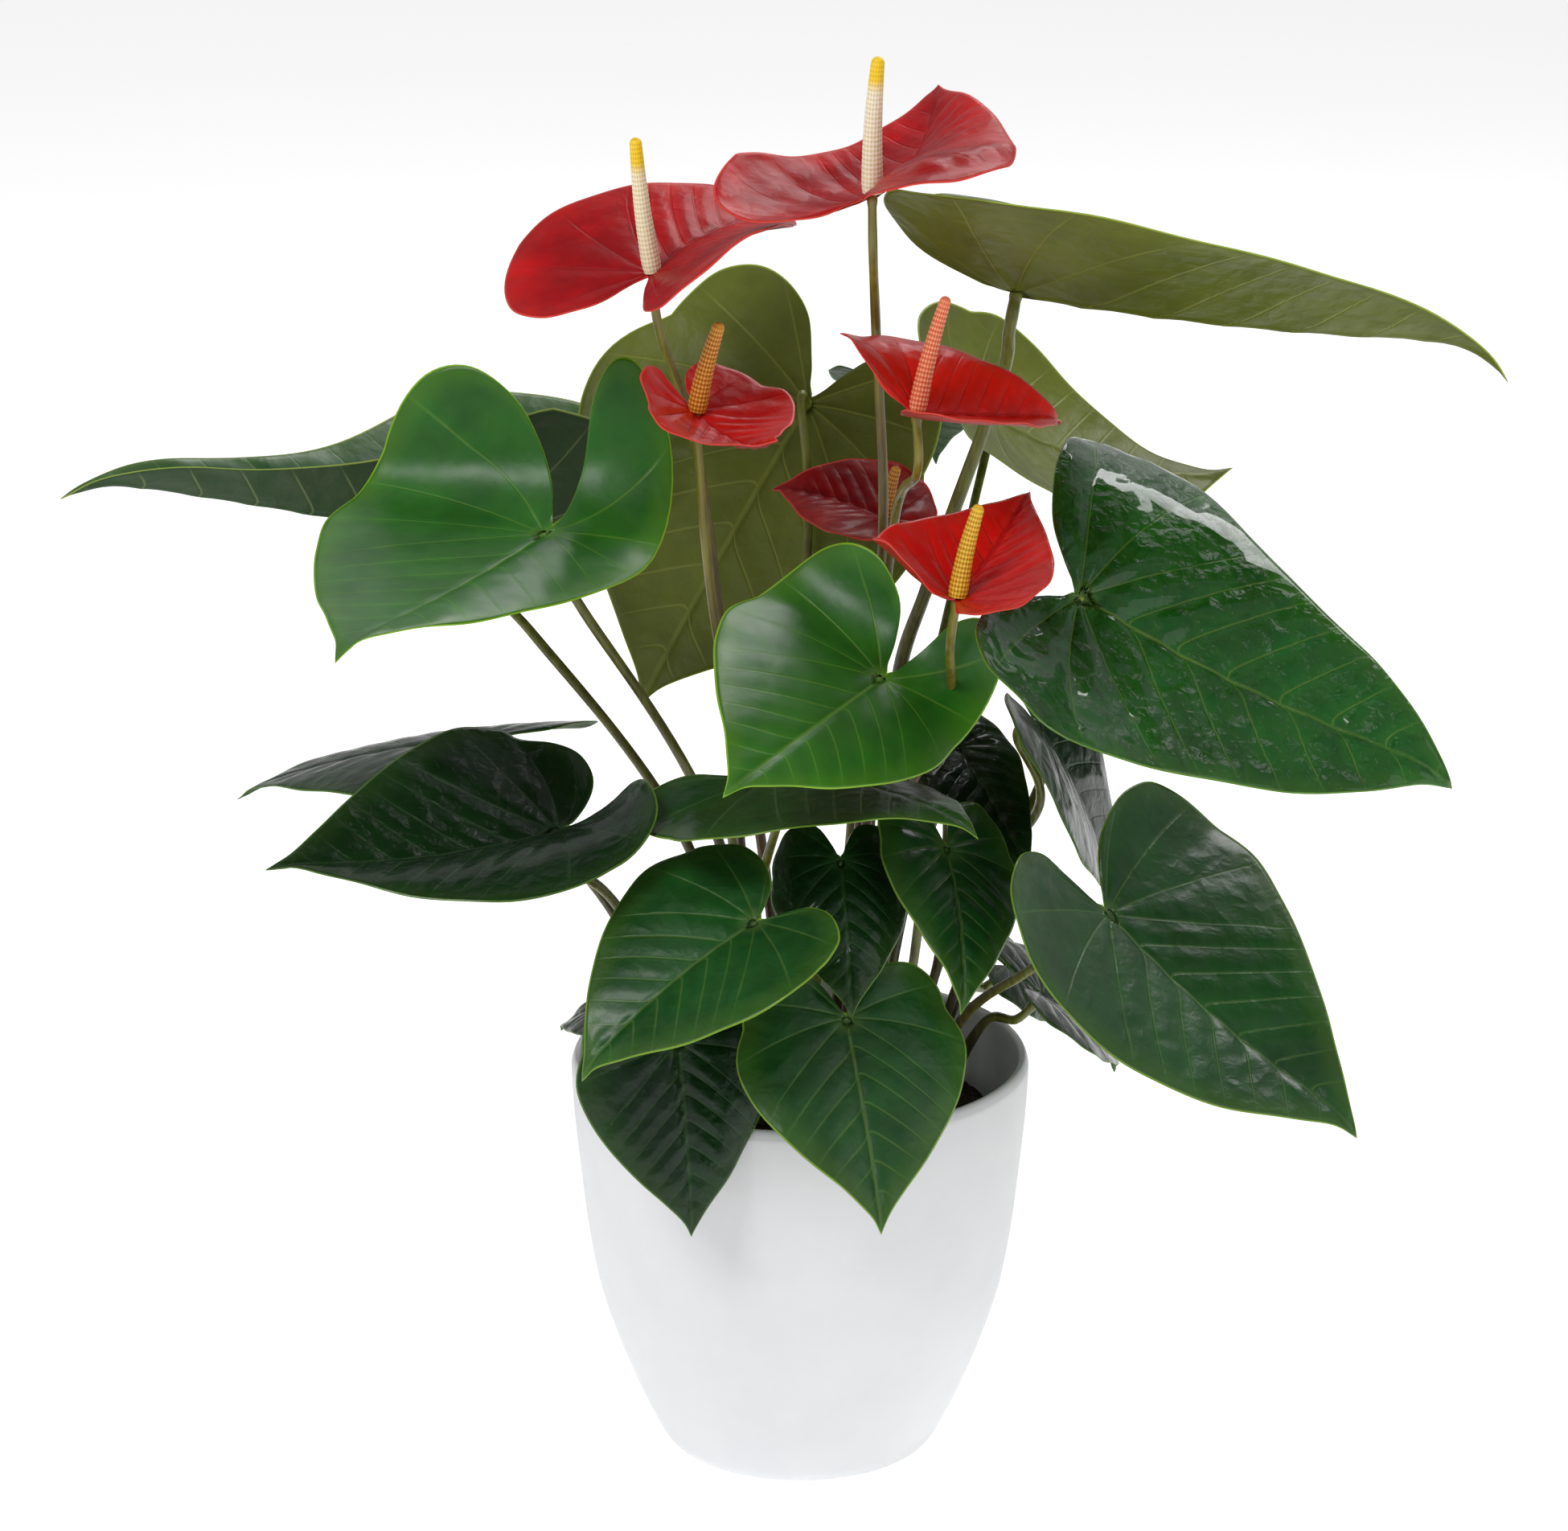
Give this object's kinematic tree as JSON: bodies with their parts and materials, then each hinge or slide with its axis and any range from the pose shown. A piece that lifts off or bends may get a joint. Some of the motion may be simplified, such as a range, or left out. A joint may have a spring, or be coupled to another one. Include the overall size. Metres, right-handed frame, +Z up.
{
  "type": "potted anthurium",
  "caption": "Flowering anthurium in a round white pot: glossy heart-shaped leaves and red spathes with upright spadices on slender stalks, resting on its flat base.",
  "frame": {"origin": "centre of the pot's flat base, on the pot's axis", "axes": "+Z up along the pot's axis, -Y towards the viewer of the plant's front, +X to that viewer's right"},
  "size_m": [0.5436, 0.3623, 0.5681],
  "materials": {
    "pot": "smooth matt white",
    "soil": "loose dark potting soil",
    "spathe_red": "waxy, glossy living bract",
    "spadix_cream": "fine bumpy, satin, yellow at the tip",
    "spadix_orange": "fine bumpy, satin",
    "flower_stalk": "satin olive-brown",
    "leaf_bright": "satin bright green living leaf",
    "leaf_green": "glossy green living leaf",
    "leaf_dark": "glossy dark green living leaf",
    "leaf_underside": "green living leaf, matt olive underside outward",
    "petiole": "satin olive green"
  },
  "bodies": {
    "root": {"pot": "pot", "soil": "soil", "spathe_1": "spathe_red", "spadix_1": "spadix_cream", "flower_stalk_1": "flower_stalk", "spathe_2": "spathe_red", "spadix_2": "spadix_cream", "flower_stalk_2": "flower_stalk", "spathe_3": "spathe_red", "spadix_3": "spadix_orange", "flower_stalk_3": "flower_stalk", "spathe_4": "spathe_red", "spadix_4": "spadix_orange", "flower_stalk_4": "flower_stalk", "spathe_5": "spathe_red", "spadix_5": "spadix_orange", "flower_stalk_5": "flower_stalk", "spathe_6": "spathe_red", "spadix_6": "spadix_orange", "flower_stalk_6": "flower_stalk", "leaf_01_blade": "leaf_bright", "leaf_01_petiole": "petiole", "leaf_02_blade": "leaf_bright", "leaf_02_petiole": "petiole", "leaf_03_blade": "leaf_green", "leaf_03_petiole": "petiole", "leaf_04_blade": "leaf_green", "leaf_04_petiole": "petiole", "leaf_05_blade": "leaf_green", "leaf_05_petiole": "petiole", "leaf_06_blade": "leaf_green", "leaf_06_petiole": "petiole", "leaf_07_blade": "leaf_dark", "leaf_07_petiole": "petiole", "leaf_08_blade": "leaf_dark", "leaf_08_petiole": "petiole", "leaf_09": "leaf_dark", "leaf_10_blade": "leaf_underside", "leaf_10_petiole": "petiole", "leaf_11_blade": "leaf_underside", "leaf_11_petiole": "petiole", "leaf_12_blade": "leaf_underside", "leaf_12_petiole": "petiole", "leaf_13_blade": "leaf_underside", "leaf_13_petiole": "petiole", "leaf_14_blade": "leaf_dark", "leaf_14_petiole": "petiole", "leaf_15_blade": "leaf_underside", "leaf_15_petiole": "petiole", "leaf_16_blade": "leaf_green", "leaf_16_petiole": "petiole", "leaf_17_blade": "leaf_green", "leaf_17_petiole": "petiole", "leaf_18_blade": "leaf_dark", "leaf_18_petiole": "petiole", "leaf_19": "leaf_dark", "leaf_20": "leaf_dark", "leaf_21": "leaf_dark", "leaf_22": "leaf_dark", "leaf_23": "leaf_dark"}
  },
  "joints": []
}
